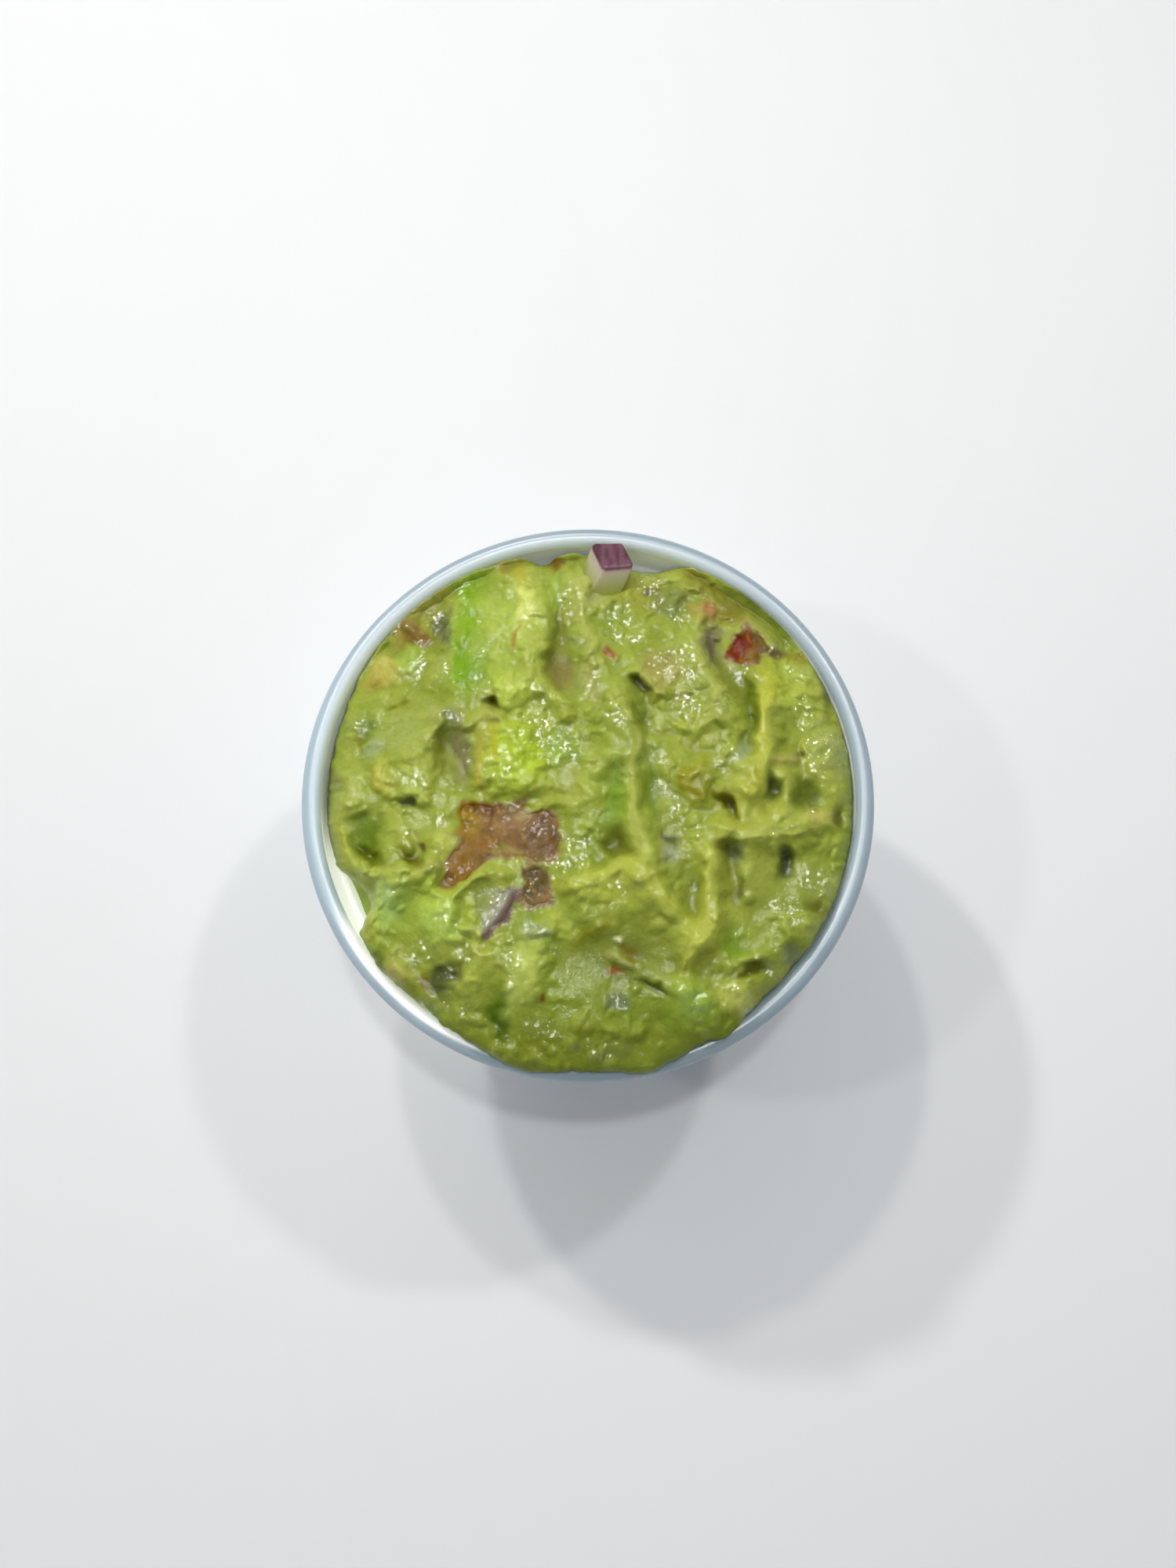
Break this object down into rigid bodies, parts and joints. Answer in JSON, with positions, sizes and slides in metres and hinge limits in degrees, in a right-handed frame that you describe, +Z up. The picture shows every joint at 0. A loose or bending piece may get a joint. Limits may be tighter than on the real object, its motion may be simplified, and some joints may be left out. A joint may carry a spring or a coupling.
{
  "type": "guacamole in a portion cup",
  "caption": "Chunky guacamole with diced tomato and red onion, heaped over the rolled rim of a small round tapered plastic portion cup.",
  "frame": {"origin": "centre of the underside of the cup, on the plane it stands on", "axes": "+Z up through the middle of the cup; -Y towards the side where the guacamole laps over the rim; +X to the right seen from there"},
  "size_m": [0.074, 0.074, 0.0482],
  "materials": {
    "cup": "milky translucent polypropylene, smooth",
    "guacamole": "wet mashed avocado",
    "tomato_large": "wet cut tomato",
    "tomato_lower": "wet cut tomato",
    "tomato_wedge": "wet cut tomato",
    "onion_wedge": "wet cut onion",
    "onion_cube": "wet cut onion"
  },
  "bodies": {
    "root": {"cup": "cup", "guacamole": "guacamole", "tomato_large": "tomato_large", "tomato_lower": "tomato_lower", "tomato_wedge": "tomato_wedge", "onion_wedge": "onion_wedge", "onion_cube": "onion_cube"}
  },
  "joints": []
}
